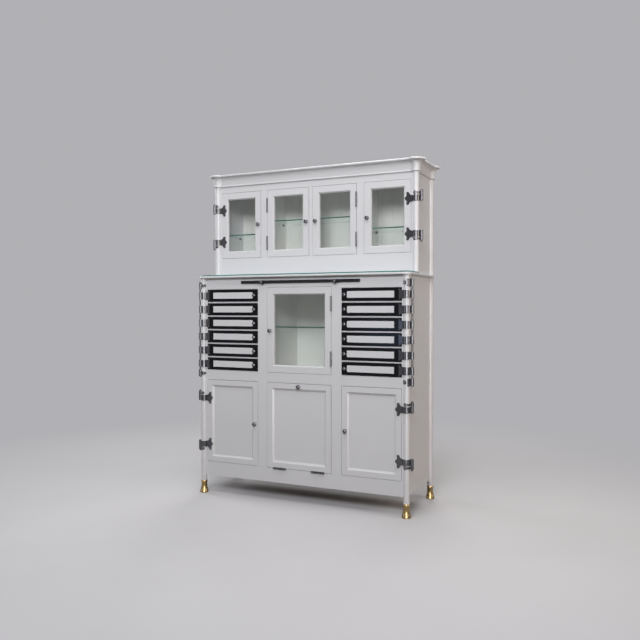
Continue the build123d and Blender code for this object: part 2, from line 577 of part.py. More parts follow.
# ---------------------------------------------------------------- doors
def put_door(name, x, z, y_face, knob_at, glazed, hinges, butts, left):
    """Write the nodes of one door drawn on the right-hand side."""
    kx, kz = knob_at
    cuts = [knob_cut(kx, kz, y_face)]
    hardware = [knob_rose(kx, kz, y_face)]
    for z_mid in hinges:
        hardware.append(strap(y_face + PROUD, PROUD, z_mid, DOOR_BAND_H, fishtail(DOOR_BAND_H), x[1] + 1))
    for z_mid in butts:
        cuts.append(mortise(x[1], -1, y_face, z_mid))
        hardware.append(Pos(x[1] + GAP / 2, y_face - BUTT_BACK, z_mid) * mirror(butt(True), about=Plane.YZ))
    frame = door_frame(x, z, y_face, glazed, cuts)
    turn = flip if left else list
    if glazed:
        glass, beads = pane(x, z, y_face)
        save(f"{name}_frame", turn(frame + beads))
        save(f"{name}_glass", turn([glass]))
    else:
        save(f"{name}_panelled", turn(frame + [panel(x, z, y_face)]))
    save(f"{name}_hardware", turn(hardware))
    save(f"{name}_knob", turn([turn_knob(kx, kz, y_face)]))


up_z, y_up = (UP_Z0, UP_Z1), SETBACK - PROUD
for name, left in (("upper_door_1", True), ("upper_door_4", False)):
    put_door(name, UP_OUTER, up_z, y_up, (UP_OUTER[0] + KNOB_IN, KNOB_Z_UP), True, UP_HINGES, (), left)
for name, left in (("upper_door_2", True), ("upper_door_3", False)):
    put_door(name, UP_INNER, up_z, y_up, (UP_INNER[0] + KNOB_IN, KNOB_Z_UP), True, (), UP_BUTTS, left)
put_door("middle_door", (-MID_HALF, MID_HALF), (MID_Z0, MID_Z1), -PROUD, (-MID_HALF + KNOB_IN, KNOB_Z_MID),
         True, (), MID_BUTTS, False)
for name, left in (("lower_left_door", True), ("lower_right_door", False)):
    put_door(name, (COL_IN, COL_OUT), (DOOR_Z0, DOOR_Z1), -PROUD, (COL_IN + KNOB_IN + 3, KNOB_Z_LOW),
             False, LOW_HINGES, (), left)

# ---------------------------------------------------------------- tilting flap and its bin
flap_x, flap_z = (-MID_HALF, MID_HALF), (DOOR_Z0, DOOR_Z1)
flap_knob = (0, DOOR_Z1 - KNOB_IN)
flap_cuts = [knob_cut(*flap_knob, -PROUD)]
flap_hardware = [knob_rose(*flap_knob, -PROUD)]
for x in FLAP_BUTTS:
    flap_cuts.append(block((x - BUTT_H / 2, x + BUTT_H / 2), (-PROUD - 1, -PROUD + 17), (DOOR_Z0, DOOR_Z0 + BUTT_T)))
    flap_hardware.append(Pos(x, LOW_BUTT_Y, FLAP_PIN_Z) * flap_turn * mirror(butt(True), about=Plane.YZ))
save("flap_panelled", door_frame(flap_x, flap_z, -PROUD, False, flap_cuts) + [panel(flap_x, flap_z, -PROUD)])
save("flap_hardware", flap_hardware)
save("flap_knob", [turn_knob(*flap_knob, -PROUD, rest=90)])

BIN_HALF = MID_HALF - 14
BIN_T = 8.0
BIN_H = 300.0
bin_y0 = FRAME_T - PROUD
bin_low, bin_high = 150.0, 205.0            # depth of its back at the bottom and at the top
bin_bottom = DOOR_Z0 + 20
bin_top = bin_bottom + BIN_H


def bin_back(z):
    """Depth of the sloping back of the bin at a height."""
    return bin_low + (bin_high - bin_low) * (z - bin_bottom) / (bin_top - bin_bottom)


cheek = make_face(Polyline((bin_y0, bin_bottom), (bin_low, bin_bottom), (bin_high, bin_top), (bin_y0, bin_top + 30),
                           close=True))
cheek = Pos(BIN_HALF - BIN_T, 0, 0) * extrude(Plane.YZ * cheek, amount=BIN_T)
back_plan = make_face(Polyline((bin_low - BIN_T, bin_bottom), (bin_low, bin_bottom), (bin_high, bin_top),
                               (bin_high - BIN_T, bin_top), close=True))
back = Pos(-BIN_HALF + BIN_T, 0, 0) * extrude(Plane.YZ * back_plan, amount=2 * (BIN_HALF - BIN_T))
bottom_plan = make_face(Polyline((bin_y0, bin_bottom), (bin_low - BIN_T, bin_bottom),
                                 (bin_back(bin_bottom + BIN_T) - BIN_T, bin_bottom + BIN_T),
                                 (bin_y0, bin_bottom + BIN_T), close=True))
bottom = Pos(-BIN_HALF + BIN_T, 0, 0) * extrude(Plane.YZ * bottom_plan, amount=2 * (BIN_HALF - BIN_T))
save("flap_bin", both([cheek]) + [back, bottom])

# ---------------------------------------------------------------- slide
slide = block((-SLIDE_HALF, SLIDE_HALF), (SLIDE_FRONT, SLIDE_DEPTH), (SLIDE_Z, SLIDE_Z + SLIDE_T))
slide = fillet([e for e in slide.edges() if abs(e.center().Y - SLIDE_FRONT) < 1e-6 and e.length > SLIDE_HALF], 2.5)
save("slide_plate", [slide])


def slide_pull():
    """Clip over the front edge of the slide, with a turned knob and a drop below."""
    z0, z1 = SLIDE_Z, SLIDE_Z + SLIDE_T
    clip = block((-8, 8), (SLIDE_FRONT - 2, -1.0), (z0 - 2, z1 + 2)) - block((-9, 9), (SLIDE_FRONT, 0), (z0, z1))
    ball = turned([(0, 0), (3.6, 0), (3.2, 4), (6.8, 8), (7.2, 11), (5, 14), (2.5, PULL_REACH - 2),
                   (0, PULL_REACH - 2)], curve=[(2, 5)])
    ball = Pos(0, SLIDE_FRONT - 2, (z0 + z1) / 2) * facing_front(ball)
    drop = Pos(0, SLIDE_FRONT + 2.2, z0 - 4.4) * Sphere(4.0)
    return clip + ball + drop


save("slide_pulls", [Pos(x, 0, 0) * slide_pull() for x in (-PULL_X, PULL_X)])

# ---------------------------------------------------------------- glass shelves and their pins
SHELF_PIN_R = 3.0
shelf_pin = turned([(0, 0), (SHELF_PIN_R, 0), (SHELF_PIN_R, 10), (SHELF_PIN_R - 1, 11), (0, 11)])
low_wall, up_wall = part_x[0], up_part_x[0]
shelves, pins = [], []
for x0, x1, y0, z in ((up_part_x[1], SIDE_IN, upper_y[0], SIDE_SHELF_Z), (-SIDE_IN, -up_part_x[1], upper_y[0], SIDE_SHELF_Z),
                      (-up_wall, up_wall, upper_y[0], MID_SHELF_Z), (-low_wall, low_wall, FRAME_T, LOW_SHELF_Z)):
    shelves.append(block((x0 + 0.5, x1 - 0.5), (y0 + 8, REAR_IN - 1), (z, z + SHELF_T)))
    for x, inward in ((x0, 1), (x1, -1)):
        for y in (y0 + 45, REAR_IN - 40):
            pins.append(Pos(x, y, z - SHELF_PIN_R) * Rot(0, inward * 90, 0) * shelf_pin)
save("glass_shelves", shelves)
save("shelf_pins", pins)
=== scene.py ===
"""Floor-standing dental cabinet: finishes, small fittings and the studio.

Metres, +Z up, front towards -Y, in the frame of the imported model.  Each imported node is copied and
merged, gets its finish and stands for its node, and flat boards get rounded arrises as well.  The
label plates of the trays and the screws of the strap hinges are added.
"""
import json
from math import pi, radians

import bmesh
import bpy
from mathutils import Matrix, Vector


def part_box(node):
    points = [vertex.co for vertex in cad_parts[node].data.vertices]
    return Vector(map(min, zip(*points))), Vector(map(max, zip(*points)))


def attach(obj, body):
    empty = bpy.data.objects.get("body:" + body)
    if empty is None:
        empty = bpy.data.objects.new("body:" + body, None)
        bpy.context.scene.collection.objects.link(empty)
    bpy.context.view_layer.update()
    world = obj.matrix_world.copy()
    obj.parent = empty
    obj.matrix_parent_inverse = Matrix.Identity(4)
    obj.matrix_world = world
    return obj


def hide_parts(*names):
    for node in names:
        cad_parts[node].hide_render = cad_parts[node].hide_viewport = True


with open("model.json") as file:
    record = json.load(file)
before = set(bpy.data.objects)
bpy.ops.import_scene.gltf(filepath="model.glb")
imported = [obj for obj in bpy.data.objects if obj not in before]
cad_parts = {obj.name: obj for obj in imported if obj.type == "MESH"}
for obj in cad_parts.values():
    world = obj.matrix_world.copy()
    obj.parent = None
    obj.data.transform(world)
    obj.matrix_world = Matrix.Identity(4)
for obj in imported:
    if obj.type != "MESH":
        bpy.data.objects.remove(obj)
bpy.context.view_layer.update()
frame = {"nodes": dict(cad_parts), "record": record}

BODIES = frame["record"]["behaviour"]["bodies"]
BODY_OF = {node: body for body, nodes in BODIES.items() for node in nodes}

# ---------------------------------------------------------------- sizes taken over from the cabinet
SIDES = (("left", -1), ("right", 1))
TRAYS = range(1, 7)                              # in each stack, counted from the top
FRONT_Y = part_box("lower_face_frame")[0].y        # front plane of the lower face frame
UPPER_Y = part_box("upper_face_frame")[0].y        # front plane of the upper face frame
DOOR_PROUD = 0.001                               # doors stand this far in front of their frame
TRAY_PROUD = 0.003                               # and trays this far in front of the lower one
TRAY_FRONT_Y = FRONT_Y - TRAY_PROUD
COLUMN_EDGE = 0.5104                             # outer edge of trays and lower doors
UPPER_EDGE = 0.5096                              # outer edge of the outer upper doors

LABEL_X = (0.2484, 0.4764)                       # label recess, from the middle plane
LABEL_HEIGHT = 0.031
LABEL_DEPTH = 0.0012                             # of the recess, which the plate fills
LABEL_CORNER = 0.006                             # radius of the corners towards the knob
LABEL_PLAY = 0.0003                              # between the plate and the recess
LABEL_RIM = 0.00025                              # rounded edge of the plate

STRAP_T = 0.0025                                 # thickness of a strap
LEAF_START = 0.001                               # a door strap's leaf starts this far past the door
LOWER_STRAP_Z = (0.247, 0.479)                   # middles of the straps
UPPER_STRAP_Z = (1.2689, 1.4310)
FITTING_WIDTH = 0.08                             # anything narrower on a tray is a plated fitting

WELD = 2e-6                                      # vertices closer than this are one
FLAT = radians(0.3)                              # faces that turn less than this are one
SHARP = radians(60)                              # edges that turn more than this are arrises
SOFT_EDGE = 0.0006                               # width of a rounded arris
SMOOTH = 35.0                                    # degrees under which an edge is shaded smooth
SMOOTH_MOULDED = 32.0
SMOOTH_TURNED = 40.0


# ---------------------------------------------------------------- node trees
def lay(tree, kind, settings=None, **plugs):
    """Add a shader node; keywords fill its inputs with a value or a link."""
    node = tree.nodes.new("ShaderNode" + kind)
    for key, value in (settings or {}).items():
        setattr(node, key, value)
    for key, value in plugs.items():
        join(tree, value, node.inputs[key.replace("_", " ")])
    return node


def join(tree, value, plug):
    """Fill an input with a link or a plain value."""
    if isinstance(value, bpy.types.NodeSocket):
        tree.links.new(value, plug)
    else:
        plug.default_value = value


def reckon(tree, operation, a, b=0.0, c=0.0):
    """A Math node's result."""
    node = lay(tree, "Math", {"operation": operation})
    for plug, value in zip(node.inputs, (a, b, c)):
        join(tree, value, plug)
    return node.outputs[0]


def spread(tree, value, low, high, to_low=0.0, to_high=1.0):
    """Map Range from low..high to the new limits, held inside them."""
    node = lay(tree, "MapRange", Value=value, From_Min=low, From_Max=high, To_Min=to_low, To_Max=to_high)
    return node.outputs[0]


def noise(tree, at, scale, detail, roughness=0.5):
    """Noise value at a place, with scale in lumps a metre."""
    return lay(tree, "TexNoise", Vector=at, Scale=scale, Detail=detail, Roughness=roughness).outputs[0]


def openness(tree, reach, samples):
    """1 on open faces, towards 0 where other faces of the same piece lie within reach."""
    settings = {"samples": samples, "only_local": True}
    return lay(tree, "AmbientOcclusion", settings, Distance=reach).outputs["AO"]


def blend(tree, amount, first, second):
    """Mix of two colours, on the Mix node's colour sockets."""
    node = lay(tree, "Mix", {"data_type": "RGBA"})
    join(tree, amount, node.inputs[0])
    join(tree, first, node.inputs[6])
    join(tree, second, node.inputs[7])
    return node.outputs[2]


def choose(tree, amount, first, second):
    """Mix of two shaders."""
    node = lay(tree, "MixShader", Fac=amount)
    join(tree, first.outputs[0], node.inputs[1])
    join(tree, second.outputs[0], node.inputs[2])
    return node.outputs[0]


def new_group(name, ins, outs):
    """Empty node group with named inputs (with defaults) and outputs."""
    group = bpy.data.node_groups.new(name, "ShaderNodeTree")
    for label, kind, value in ins:
        plug = group.interface.new_socket(label, in_out="INPUT", socket_type="NodeSocket" + kind)
        plug.default_value = value
    for label, kind in outs:
        group.interface.new_socket(label, in_out="OUTPUT", socket_type="NodeSocket" + kind)
    return group, group.nodes.new("NodeGroupInput").outputs, group.nodes.new("NodeGroupOutput").inputs


def place(tree, group, **plugs):
    """A group in a material, with its own values."""
    node = tree.nodes.new("ShaderNodeGroup")
    node.node_tree = group
    for key, value in plugs.items():
        join(tree, value, node.inputs[key.replace("_", " ")])
    return node.outputs


def new_material(name):
    """Material with an empty tree and its Principled shader."""
    material = bpy.data.materials.new(name)
    material.use_nodes = True
    tree = material.node_tree
    tree.nodes.clear()
    shader = lay(tree, "BsdfPrincipled")
    output = lay(tree, "OutputMaterial", Surface=shader.outputs[0])
    return material, tree, shader, output


def surface(tree, shader, colour, roughness, height, depth):
    """Feed the shader's colour, its roughness and a bump of the given depth in metres."""
    join(tree, colour, shader.inputs["Base Color"])
    join(tree, roughness, shader.inputs["Roughness"])
    bump = lay(tree, "Bump", Strength=1.0, Distance=depth, Height=height)
    join(tree, bump.outputs[0], shader.inputs["Normal"])


# ---------------------------------------------------------------- shared effects
SURFACE_OUTPUTS = (("Color", "Color"), ("Roughness", "Float"), ("Height", "Float"))
STROKE_HEIGHT = 0.6                              # of the brush strokes, with the paint's peel as 1
SCRATCH_HEIGHT = 0.35                            # of the scratches, with the dull patches as 1
DULL_ROUGHNESS = 0.22                            # what tarnish adds to the polish
SCRATCH_ROUGHNESS = 0.1                          # what a scratch adds


def make_brushed_coat():
    """Old brushed-on enamel: faint cloudiness, painted shade and a dusty film in its corners, soft brush
    waves.
    """
    group, ins, outs = new_group(
        "brushed_coat",
        [("Paint", "Color", (0.8, 0.8, 0.8, 1)), ("Dust", "Color", (0.5, 0.45, 0.4, 1)),
         ("Dust Amount", "Float", 0.3), ("Gloss Roughness", "Float", 0.25)],
        SURFACE_OUTPUTS)
    at = lay(group, "TexCoord").outputs["Object"]
    along_brush = lay(group, "Mapping", Vector=at, Scale=(1.0, 1.0, 0.12)).outputs[0]
    cloud = noise(group, at, scale=5.0, detail=4.0, roughness=0.6)
    fine = noise(group, at, scale=160.0, detail=2.0)
    peel = noise(group, at, scale=420.0, detail=1.0)
    strokes = noise(group, along_brush, scale=240.0, detail=2.0)

    # Painted shade with a dusty film: faces near other faces of the same piece, such as corners and recesses,
    # are mixed towards the darker colour.
    hollow = spread(group, openness(group, reach=0.012, samples=6), low=0.95, high=0.35)
    speckle = spread(group, fine, low=0.2, high=0.8, to_low=0.6, to_high=1.0)
    dust_and_shade = reckon(group, "MULTIPLY", reckon(group, "MULTIPLY", hollow, speckle), ins["Dust Amount"])
    value = spread(group, cloud, low=0.15, high=0.85, to_low=0.985, to_high=1.01)
    tone = lay(group, "HueSaturation", Color=ins["Paint"], Value=value).outputs[0]
    join(group, blend(group, dust_and_shade, tone, ins["Dust"]), outs["Color"])
    uneven = spread(group, cloud, low=0.15, high=0.85, to_low=-0.03, to_high=0.05)
    join(group, reckon(group, "ADD", ins["Gloss Roughness"], uneven), outs["Roughness"])
    join(group, reckon(group, "MULTIPLY_ADD", strokes, STROKE_HEIGHT, peel), outs["Height"])
    return group


def make_worn_plating():
    """Plated metal that has dulled in patches and nooks, with hair scratches."""
    group, ins, outs = new_group(
        "worn_plating",
        [("Metal", "Color", (0.5, 0.5, 0.5, 1)), ("Tarnish", "Color", (0.1, 0.1, 0.1, 1)),
         ("Patch Scale", "Float", 60.0), ("Tarnish Amount", "Float", 0.5),
         ("Polish Roughness", "Float", 0.12)],
        SURFACE_OUTPUTS)
    at = lay(group, "TexCoord").outputs["Object"]
    upright = lay(group, "Mapping", Vector=at, Scale=(1.0, 1.0, 0.06)).outputs[0]
    patches = noise(group, at, ins["Patch Scale"], detail=5.0, roughness=0.62)
    scratches = noise(group, upright, scale=1500.0, detail=2.0)

    dull_patch = spread(group, patches, low=0.42, high=0.62)
    dull_nook = spread(group, openness(group, reach=0.004, samples=4), low=0.8, high=0.3, to_high=0.85)
    dull = reckon(group, "MAXIMUM", reckon(group, "MULTIPLY", dull_patch, ins["Tarnish Amount"]), dull_nook)
    join(group, blend(group, dull, ins["Metal"], ins["Tarnish"]), outs["Color"])
    polish = reckon(group, "MULTIPLY_ADD", dull, DULL_ROUGHNESS, ins["Polish Roughness"])
    deep_scratch = spread(group, scratches, low=0.62, high=0.75)
    join(group, reckon(group, "MULTIPLY_ADD", deep_scratch, SCRATCH_ROUGHNESS, polish), outs["Roughness"])
    join(group, reckon(group, "MULTIPLY_ADD", scratches, SCRATCH_HEIGHT, patches), outs["Height"])
    return group


def make_glass_body():
    """One colour on level faces, another on upright ones such as cut edges; smudges, slow waves."""
    group, ins, outs = new_group(
        "glass_body",
        [("Face", "Color", (0.95, 0.98, 0.97, 1)), ("Edge", "Color", (0.05, 0.4, 0.3, 1)),
         ("Wave Scale", "Float", 9.0)],
        SURFACE_OUTPUTS)
    coords = lay(group, "TexCoord").outputs
    lift = reckon(group, "ABSOLUTE", lay(group, "SeparateXYZ", Vector=coords["Normal"]).outputs[2])
    edge = spread(group, lift, low=0.75, high=0.25)
    join(group, blend(group, edge, ins["Face"], ins["Edge"]), outs["Color"])
    smudge = noise(group, coords["Object"], scale=14.0, detail=5.0, roughness=0.7)
    join(group, spread(group, smudge, low=0.45, high=0.8, to_high=0.035), outs["Roughness"])
    join(group, noise(group, coords["Object"], ins["Wave Scale"], detail=0.0), outs["Height"])
    return group


def make_wipe_marks():
    """Marks that wiping leaves on a plate; a Stretch under 1 draws them out along its axis."""
    group, ins, outs = new_group(
        "wipe_marks",
        [("Stretch", "Vector", (1.0, 1.0, 1.0)), ("Mark Scale", "Float", 30.0),
         ("Mark Roughness", "Float", 0.6)],
        [("Marks", "Float")])
    at = lay(group, "TexCoord").outputs["Object"]
    drawn_out = lay(group, "Mapping", Vector=at, Scale=ins["Stretch"]).outputs[0]
    marks = noise(group, drawn_out, ins["Mark Scale"], detail=5.0, roughness=ins["Mark Roughness"])
    join(group, marks, outs["Marks"])
    return group


BRUSHED_COAT = make_brushed_coat()
WORN_PLATING = make_worn_plating()
GLASS_BODY = make_glass_body()
WIPE_MARKS = make_wipe_marks()


# ---------------------------------------------------------------- finishes
def enamel(name, paint, dust_shade, dust_shade_amount, gloss):
    """Brushed enamel with painted shade and a dusty film in its corners."""
    material, tree, shader, _ = new_material(name)
    coat = place(tree, BRUSHED_COAT, Paint=paint, Dust=dust_shade, Dust_Amount=dust_shade_amount, Gloss_Roughness=gloss)
    surface(tree, shader, coat["Color"], coat["Roughness"], coat["Height"], depth=0.00006)
    return material


def lacquer(name):
    """Glossy black lacquer of the trays."""
    material, tree, shader, _ = new_material(name)
    # The second colour paints the lacquer a touch darker in its corners, as painted shade.
    coat = place(tree, BRUSHED_COAT, Paint=(0.003, 0.003, 0.0045, 1), Dust=(0.02, 0.018, 0.017, 1),
                 Dust_Amount=0.2, Gloss_Roughness=0.09)
    surface(tree, shader, coat["Color"], coat["Roughness"], coat["Height"], depth=0.00002)
    shader.inputs["Specular IOR Level"].default_value = 0.22
    return material


def plated(name, metal, tarnish, patch_scale, tarnish_amount, polish):
    """Metal with dull patches and scratches."""
    material, tree, shader, _ = new_material(name)
    plate = place(tree, WORN_PLATING, Metal=metal, Tarnish=tarnish, Patch_Scale=patch_scale,
                  Tarnish_Amount=tarnish_amount, Polish_Roughness=polish)
    surface(tree, shader, plate["Color"], plate["Roughness"], plate["Height"], depth=0.00004)
    shader.inputs["Metallic"].default_value = 1.0
    return material


def clear_glass(name, face, edge, wave_scale, wave_depth):
    """Glass that lets lamp light through to what stands behind it."""
    material, tree, shader, output = new_material(name)
    body = place(tree, GLASS_BODY, Face=face, Edge=edge, Wave_Scale=wave_scale)
    surface(tree, shader, body["Color"], body["Roughness"], body["Height"], wave_depth)
    shader.inputs["Transmission Weight"].default_value = 1.0
    shader.inputs["IOR"].default_value = 1.5
    rays = lay(tree, "LightPath").outputs
    passing = reckon(tree, "MAXIMUM", rays["Is Shadow Ray"], rays["Is Diffuse Ray"])
    through = lay(tree, "BsdfTransparent", Color=face)
    join(tree, choose(tree, passing, shader, through), output.inputs["Surface"])
    return material


def milk_glass(name):
    """White writing plate: glossy, a little uneven, grey where it was wiped."""
    material, tree, shader, _ = new_material(name)
    marks = place(tree, WIPE_MARKS, Stretch=(0.35, 1.0, 1.0), Mark_Scale=38.0, Mark_Roughness=0.65)["Marks"]
    clean = (0.70, 0.70, 0.72, 1)
    greyed = (0.58, 0.58, 0.60, 1)
    colour = blend(tree, spread(tree, marks, low=0.5, high=0.75, to_high=0.3), clean, greyed)
    roughness = spread(tree, marks, low=0.4, high=0.7, to_low=0.12, to_high=0.3)
    surface(tree, shader, colour, roughness, marks, depth=0.00005)
    return material


def black_glass(name):
    """Polished black plate with wipe marks."""
    material, tree, shader, _ = new_material(name)
    marks = place(tree, WIPE_MARKS, Mark_Scale=22.0, Mark_Roughness=0.6)["Marks"]
    clean = (0.004, 0.004, 0.005, 1)
    smeared = (0.016, 0.016, 0.017, 1)
    colour = blend(tree, spread(tree, marks, low=0.45, high=0.8), clean, smeared)
    roughness = spread(tree, marks, low=0.4, high=0.75, to_low=0.04, to_high=0.16)
    surface(tree, shader, colour, roughness, marks, depth=0.00003)
    return material


# The darker second colours are painted shade with a dusty film in the corners; the inner one is an olive
# painted shade.
COOL_WHITE = enamel("cool_white_enamel", paint=(0.70, 0.695, 0.715, 1), dust_shade=(0.42, 0.38, 0.33, 1),
                    dust_shade_amount=0.55, gloss=0.24)
INNER_WHITE = enamel("inner_white_enamel", paint=(0.79, 0.785, 0.76, 1), dust_shade=(0.28, 0.26, 0.19, 1),
                     dust_shade_amount=0.6, gloss=0.34)
BLACK_LACQUER = lacquer("black_tray_lacquer")
LABEL_WHITE = milk_glass("white_label_plate")
SLIDE_BLACK = black_glass("black_slide_plate")
DARK_CHROME = plated("darkened_chrome", metal=(0.13, 0.13, 0.14, 1), tarnish=(0.030, 0.026, 0.026, 1),
                     patch_scale=170.0, tarnish_amount=0.4, polish=0.08)
ROD_STEEL = plated("rod_steel", metal=(0.10, 0.10, 0.11, 1), tarnish=(0.025, 0.022, 0.022, 1),
                   patch_scale=120.0, tarnish_amount=0.6, polish=0.2)
AGED_BRASS = plated("aged_brass", metal=(0.38, 0.27, 0.125, 1), tarnish=(0.09, 0.058, 0.026, 1),
                    patch_scale=45.0, tarnish_amount=0.3, polish=0.10)
PANE_CLEAR = (0.985, 0.992, 0.988, 1)            # face and edge alike, because a pane is upright
WINDOW_GLASS = clear_glass("window_glass", face=PANE_CLEAR, edge=PANE_CLEAR,
                           wave_scale=7.0, wave_depth=0.0003)
SHELF_GLASS = clear_glass("shelf_glass", face=(0.95, 0.99, 0.98, 1), edge=(0.01, 0.22, 0.17, 1),
                          wave_scale=9.0, wave_depth=0.0002)
TOP_GLASS = clear_glass("top_glass", face=(0.96, 0.99, 0.985, 1), edge=(0.03, 0.32, 0.25, 1),
                        wave_scale=9.0, wave_depth=0.0002)


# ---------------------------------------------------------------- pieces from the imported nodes
def merged(node):
    """Bmesh copy of a node with its loose triangles welded into flat faces."""
    shape = bmesh.new()
    shape.from_mesh(frame["nodes"][node].data)
    bmesh.ops.remove_doubles(shape, verts=shape.verts, dist=WELD)
    bmesh.ops.dissolve_limit(shape, angle_limit=FLAT, verts=shape.verts, edges=shape.edges)
    return shape


def turn_angle(edge):
    """Angle between the two faces of an edge, or 0 where it hasn't two."""
    return edge.calc_face_angle(0.0) if len(edge.link_faces) == 2 else 0.0


def bevel(shape, parts, width, segments=2, affect="EDGES", clamp=False):
    """Round edges or corners."""
    bmesh.ops.bevel(shape, geom=parts, offset=width, offset_type="OFFSET", affect=affect, segments=segments,
                    profile=0.5, material=-1, clamp_overlap=clamp)


def soften(shape):
    """Round the arrises of boards, apart from those that meet a neighbouring board."""
    shared = {v for e in shape.edges if len(e.link_faces) != 2 for v in e.verts}
    arrises = [e for e in shape.edges if turn_angle(e) > SHARP and not shared.intersection(e.verts)]
    bevel(shape, arrises, SOFT_EDGE, clamp=True)


def finish(shape, name, material, body, nodes=(), smooth_below=SMOOTH, weighted=False):
    """Turn a bmesh into a finished piece that rides on its body and stands for its nodes."""
    for face in shape.faces:
        face.smooth = True
    for edge in shape.edges:
        edge.smooth = turn_angle(edge) < radians(smooth_below) and len(edge.link_faces) == 2
    mesh = bpy.data.meshes.new(name)
    shape.to_mesh(mesh)
    shape.free()
    mesh.materials.clear()
    mesh.materials.append(material)
    piece = bpy.data.objects.new(name, mesh)
    bpy.context.scene.collection.objects.link(piece)
    if weighted:
        level = piece.modifiers.new("flat_faces_stay_flat", "WEIGHTED_NORMAL")
        level.keep_sharp = True
    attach(piece, body)
    if nodes:
        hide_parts(*nodes)


def dress(node, word, material, soft=False, smooth_below=SMOOTH):
    """Finished copy of one node, with rounded arrises if it is soft."""
    shape = merged(node)
    if soft:
        soften(shape)
    finish(shape, f"{node}_{word}", material, BODY_OF[node], (node,), smooth_below, weighted=soft)


def islands(shape):
    """Connected groups of faces."""
    left = set(shape.faces)
    while left:
        group, queue = set(), [left.pop()]
        while queue:
            face = queue.pop()
            group.add(face)
            near = {f for e in face.edges for f in e.link_faces} & left
            left -= near
            queue += near
        yield group


def keep_faces(node, wanted):
    """Merged copy of a node with only the islands whose width the test accepts."""
    shape = merged(node)
    for group in list(islands(shape)):
        xs = [v.co.x for f in group for v in f.verts]
        if not wanted(max(xs) - min(xs)):
            bmesh.ops.delete(shape, geom=list(group), context="FACES")
    return shape


def dress_tray(node):
    """Lacquered box and plated fittings of one tray."""
    box = keep_faces(node, lambda width: width >= FITTING_WIDTH)
    soften(box)
    finish(box, f"{node}_lacquered", BLACK_LACQUER, BODY_OF[node], (node,), weighted=True)
    fittings = keep_faces(node, lambda width: width < FITTING_WIDTH)
    finish(fittings, f"{node}_plated", DARK_CHROME, BODY_OF[node], (node,), SMOOTH_TURNED)


INNER_NODES = ("carcass_boards", "partitions", "back_panel", "flap_bin")
OUTER_NODES = ("side_panels", "lower_face_frame", "upper_face_frame", "tray_dividers")
MOULDED_NODES = ("worktop", "cornice", "corner_posts")


def dress_all():
    """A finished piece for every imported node."""
    for node in sorted(frame["nodes"]):
        if "_tray_" in node:
            dress_tray(node)
        elif node in INNER_NODES:
            dress(node, "enamelled", INNER_WHITE, soft=True)
        elif node in OUTER_NODES or node.endswith(("_frame", "_panelled")):
            dress(node, "enamelled", COOL_WHITE, soft=True)
        elif node in MOULDED_NODES:
            dress(node, "enamelled", COOL_WHITE, smooth_below=SMOOTH_MOULDED)
        elif node == "brass_feet":
            dress(node, "polished", AGED_BRASS, smooth_below=SMOOTH_TURNED)
        elif node == "tray_pivot_rods":
            dress(node, "polished", ROD_STEEL)
        elif node == "slide_plate":
            dress(node, "polished", SLIDE_BLACK)
        elif node == "worktop_glass":
            dress(node, "cut", TOP_GLASS)
        elif node == "glass_shelves":
            dress(node, "cut", SHELF_GLASS)
        elif node.endswith("_glass"):
            dress(node, "pane", WINDOW_GLASS)
        else:
            dress(node, "plated", DARK_CHROME, smooth_below=SMOOTH_TURNED)


# ---------------------------------------------------------------- what the added fittings share
def trays():
    """Node, side and middle height of each tray."""
    for word, side in SIDES:
        for number in TRAYS:
            node = f"{word}_tray_{number}"
            low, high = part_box(node)
            yield node, side, (low.z + high.z) / 2


def standing(at):
    """Matrix that stands what was made flat at a place, with its top to the front."""
    return Matrix.Translation(at) @ Matrix.Rotation(pi / 2, 4, "X")


# ---------------------------------------------------------------- label plates
def label_plate(node, side, middle_z):
    """White plate let into a tray front, with rounded corners towards the knob."""
    near = LABEL_X[0] + LABEL_PLAY
    length = LABEL_X[1] - LABEL_X[0] - 2 * LABEL_PLAY
    height = LABEL_HEIGHT - 2 * LABEL_PLAY
    middle_x = near + length / 2
    plate = bmesh.new()
    bmesh.ops.create_grid(plate, x_segments=1, y_segments=1, size=0.5)
    bmesh.ops.scale(plate, vec=(length, height, 1), verts=plate.verts)
    bmesh.ops.translate(plate, vec=(middle_x, 0, 0), verts=plate.verts)
    knob_end = [v for v in plate.verts if v.co.x < middle_x]
    bevel(plate, knob_end, LABEL_CORNER - LABEL_PLAY, segments=6, affect="VERTICES")
    grown = bmesh.ops.extrude_face_region(plate, geom=plate.faces[:])
    top = [g for g in grown["geom"] if isinstance(g, bmesh.types.BMVert)]
    bmesh.ops.translate(plate, vec=(0, 0, LABEL_DEPTH), verts=top)
    bmesh.ops.recalc_face_normals(plate, faces=plate.faces)
    rim = [e for e in plate.edges if all(v.co.z > LABEL_DEPTH / 2 for v in e.verts) and turn_angle(e) > SHARP]
    bevel(plate, rim, LABEL_RIM)
    stand = standing((0, TRAY_FRONT_Y + LABEL_DEPTH, middle_z))
    bmesh.ops.transform(plate, matrix=stand, verts=plate.verts)
    if side < 0:
        bmesh.ops.scale(plate, vec=(-1, 1, 1), verts=plate.verts)
    bmesh.ops.recalc_face_normals(plate, faces=plate.faces)
    finish(plate, f"{node}_label_plate", LABEL_WHITE, BODY_OF[node], weighted=True)


# ---------------------------------------------------------------- screws
HEAD_RISE = 0.28                                 # of the head's radius, as are the next two
HEAD_TOP = 0.6                                   # radius of the flat top
HALF_SLOT = 0.14                                 # half the width of the slot
SLOT_DEPTH = 0.5                                 # of the head's rise
LEVEL = 0.9                                      # normals of the flat top rise more, of the flank less
HEAD_SUNK = 0.0001                               # in the strap, so that no gap shows
FIRST_TURN, NEXT_TURN = 37, 71                   # degrees of the slots, one screw after another
DOOR_SCREW_R = 0.0028
TRAY_SCREW_R = 0.0021
LEAF_SCREWS = ((-0.0160, 0.0215), (-0.0235, 0.0), (-0.0160, -0.0215))   # in the horns and the point
TRAY_SCREW_IN = 0.0075                           # from the tray's outer edge
TRAY_SCREW_RISES = (-0.019, 0.019)               # from the tray's middle


